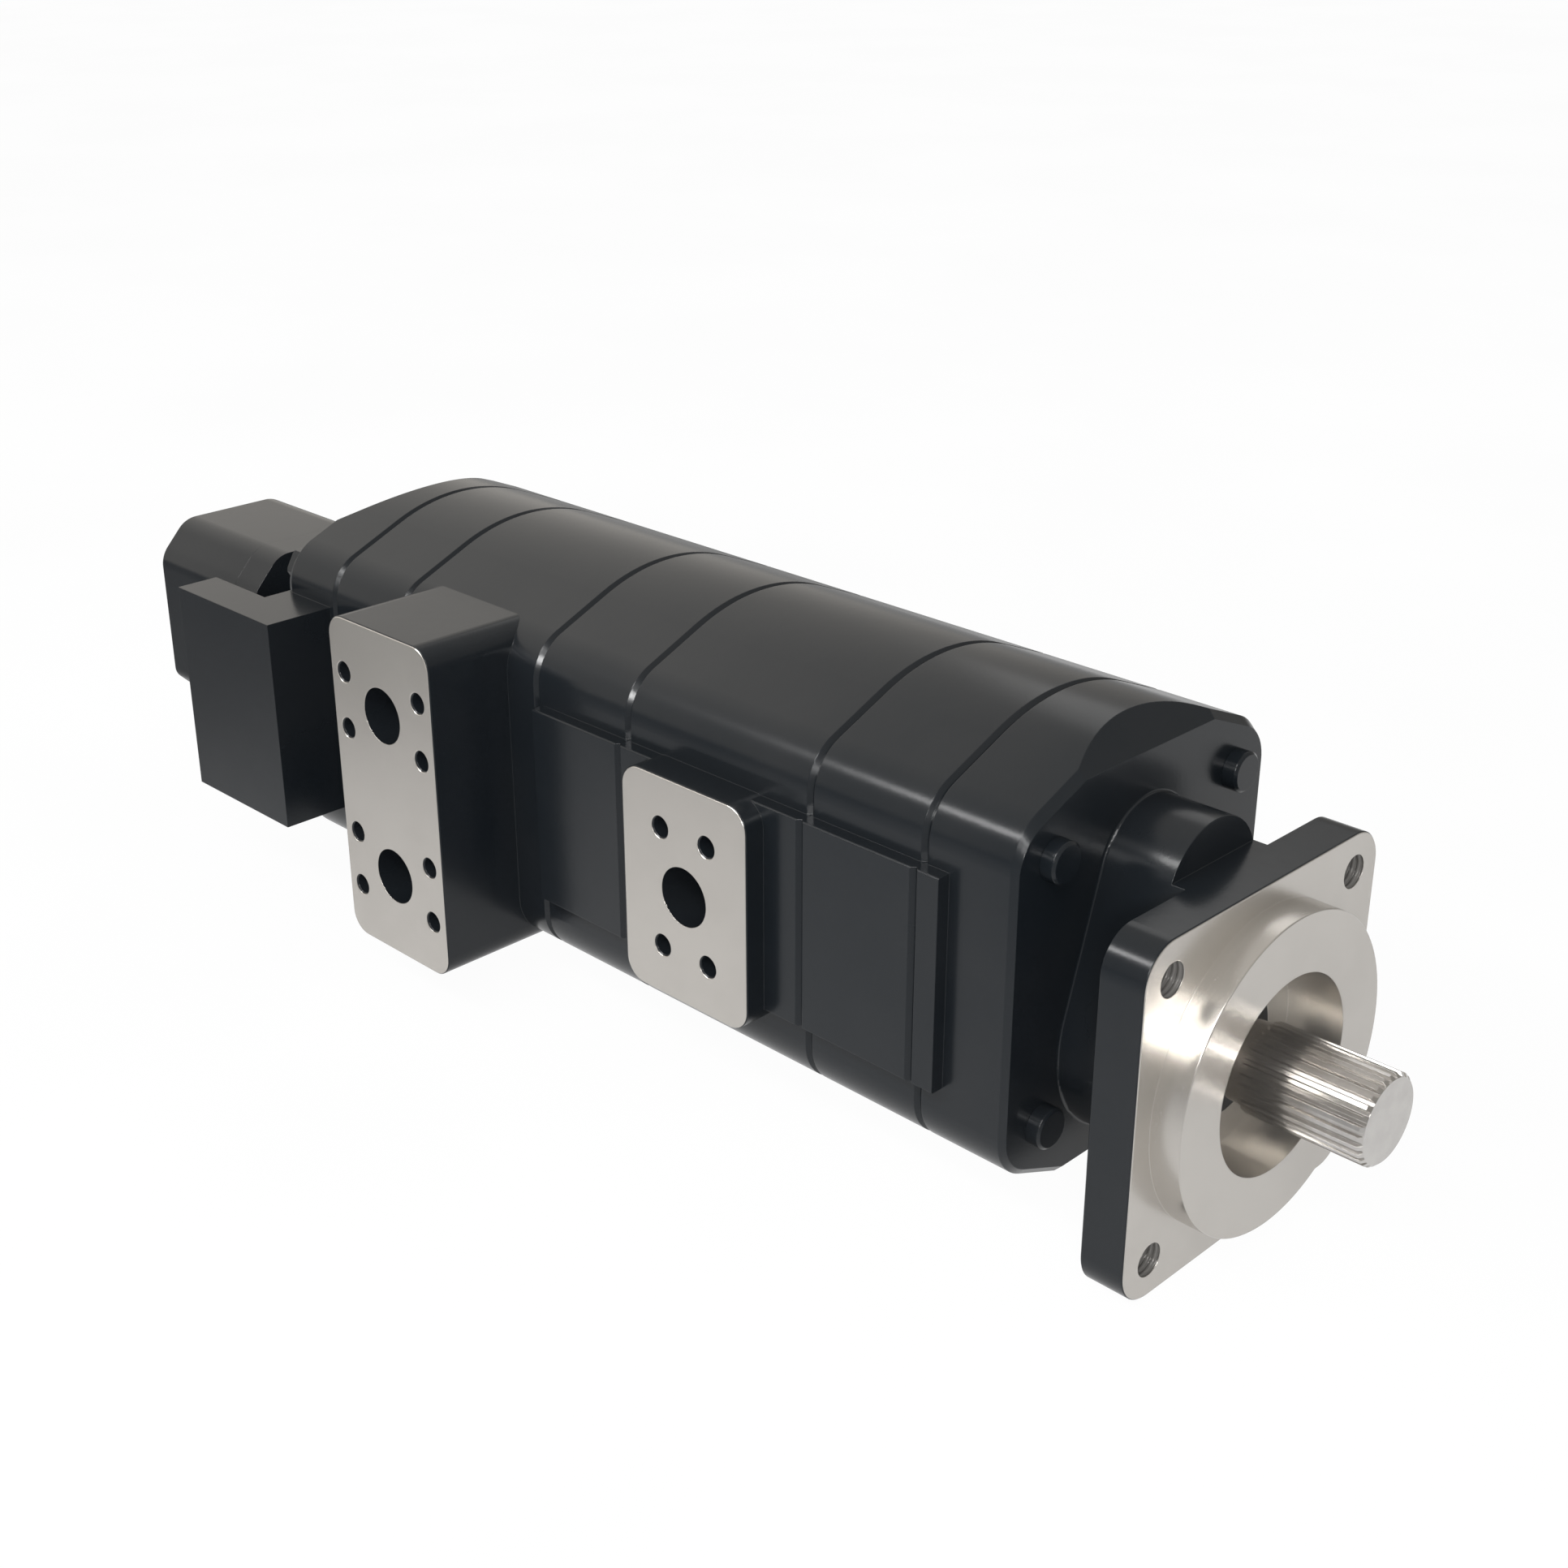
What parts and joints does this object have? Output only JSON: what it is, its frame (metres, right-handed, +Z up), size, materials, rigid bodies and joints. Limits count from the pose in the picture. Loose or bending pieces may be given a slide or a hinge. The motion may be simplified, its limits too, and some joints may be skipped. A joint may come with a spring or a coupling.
{
  "type": "hydraulic gear pump",
  "caption": "Multi-section hydraulic gear pump with a square mounting flange, splined drive shaft, side outlet port blocks and a small pump behind.",
  "frame": {"origin": "centre of the mounting flange's face, on the drive axis", "axes": "+X out along the drive shaft, +Z up towards the driven gears' axis, outlet ports face -Y"},
  "size_m": [0.7233, 0.1978, 0.1932],
  "materials": {
    "black_casting": "satin black paint, machined faces bare",
    "bearing_bronze": "machined",
    "seal_rubber": "matt",
    "black_steel": "satin black paint",
    "dark_steel": "black oxide",
    "gear_steel": "ground"
  },
  "bodies": {
    "casing": {"front_cover": "black_casting", "gear_housing_1": "black_casting", "gear_housing_2": "black_casting", "gear_housing_3": "black_casting", "bearing_carrier_1": "black_casting", "bearing_carrier_2": "black_casting", "rear_cover": "black_casting", "adapter": "black_casting", "rear_pump_front_cover": "black_casting", "rear_pump_body": "black_casting", "drive_bushing_1_front": "bearing_bronze", "drive_bushing_1_rear": "bearing_bronze", "driven_bushing_1_front": "bearing_bronze", "driven_bushing_1_rear": "bearing_bronze", "drive_bushing_2_front": "bearing_bronze", "drive_bushing_2_rear": "bearing_bronze", "driven_bushing_2_front": "bearing_bronze", "driven_bushing_2_rear": "bearing_bronze", "drive_bushing_3_front": "bearing_bronze", "drive_bushing_3_rear": "bearing_bronze", "driven_bushing_3_front": "bearing_bronze", "driven_bushing_3_rear": "bearing_bronze", "thrust_plate_1_front": "bearing_bronze", "thrust_plate_1_rear": "bearing_bronze", "thrust_plate_2_front": "bearing_bronze", "thrust_plate_2_rear": "bearing_bronze", "thrust_plate_3_front": "bearing_bronze", "thrust_plate_3_rear": "bearing_bronze", "section_seal_1_front": "seal_rubber", "section_seal_1_rear": "seal_rubber", "section_seal_2_front": "seal_rubber", "section_seal_2_rear": "seal_rubber", "section_seal_3_front": "seal_rubber", "section_seal_3_rear": "seal_rubber", "shaft_seal": "seal_rubber", "rear_shaft_seal": "seal_rubber", "rear_body_seal": "seal_rubber", "rear_bushing_block_front": "bearing_bronze", "rear_bushing_block_rear": "bearing_bronze", "through_bolts": "black_steel", "washers": "black_steel", "nuts": "black_steel", "dowel_pins": "dark_steel", "adapter_screws": "dark_steel", "rear_pump_bolts": "dark_steel"},
    "drive_line": {"drive_shaft": "gear_steel", "connecting_shaft_1": "gear_steel", "drive_gear_2": "gear_steel", "connecting_shaft_2": "gear_steel", "drive_gear_3": "gear_steel", "coupling_shaft": "gear_steel", "rear_drive_gear": "gear_steel"},
    "driven_1": {"driven_gear_1": "gear_steel"},
    "driven_2": {"driven_gear_2": "gear_steel"},
    "driven_3": {"driven_gear_3": "gear_steel"},
    "rear_driven": {"rear_driven_gear": "gear_steel"}
  },
  "joints": [
    {"name": "drive_spin", "type": "hinge", "parent": "casing", "child": "drive_line", "pos_m": [0, 0, 0], "axis": [1, 0, 0], "continuous": true},
    {"name": "driven_1_spin", "type": "hinge", "parent": "casing", "child": "driven_1", "pos_m": [-0.12, 0, 0.058], "axis": [1, 0, 0], "continuous": true},
    {"name": "driven_2_spin", "type": "hinge", "parent": "casing", "child": "driven_2", "pos_m": [-0.24, 0, 0.058], "axis": [1, 0, 0], "continuous": true},
    {"name": "driven_3_spin", "type": "hinge", "parent": "casing", "child": "driven_3", "pos_m": [-0.36, 0, 0.058], "axis": [1, 0, 0], "continuous": true},
    {"name": "rear_driven_spin", "type": "hinge", "parent": "casing", "child": "rear_driven", "pos_m": [-0.624, 0, 0.0375], "axis": [1, 0, 0], "continuous": true}
  ],
  "couplings": [
    {"joint": "driven_1_spin", "follows": "drive_spin", "ratio": -1},
    {"joint": "driven_2_spin", "follows": "drive_spin", "ratio": -1},
    {"joint": "driven_3_spin", "follows": "drive_spin", "ratio": -1},
    {"joint": "rear_driven_spin", "follows": "drive_spin", "ratio": -1}
  ]
}
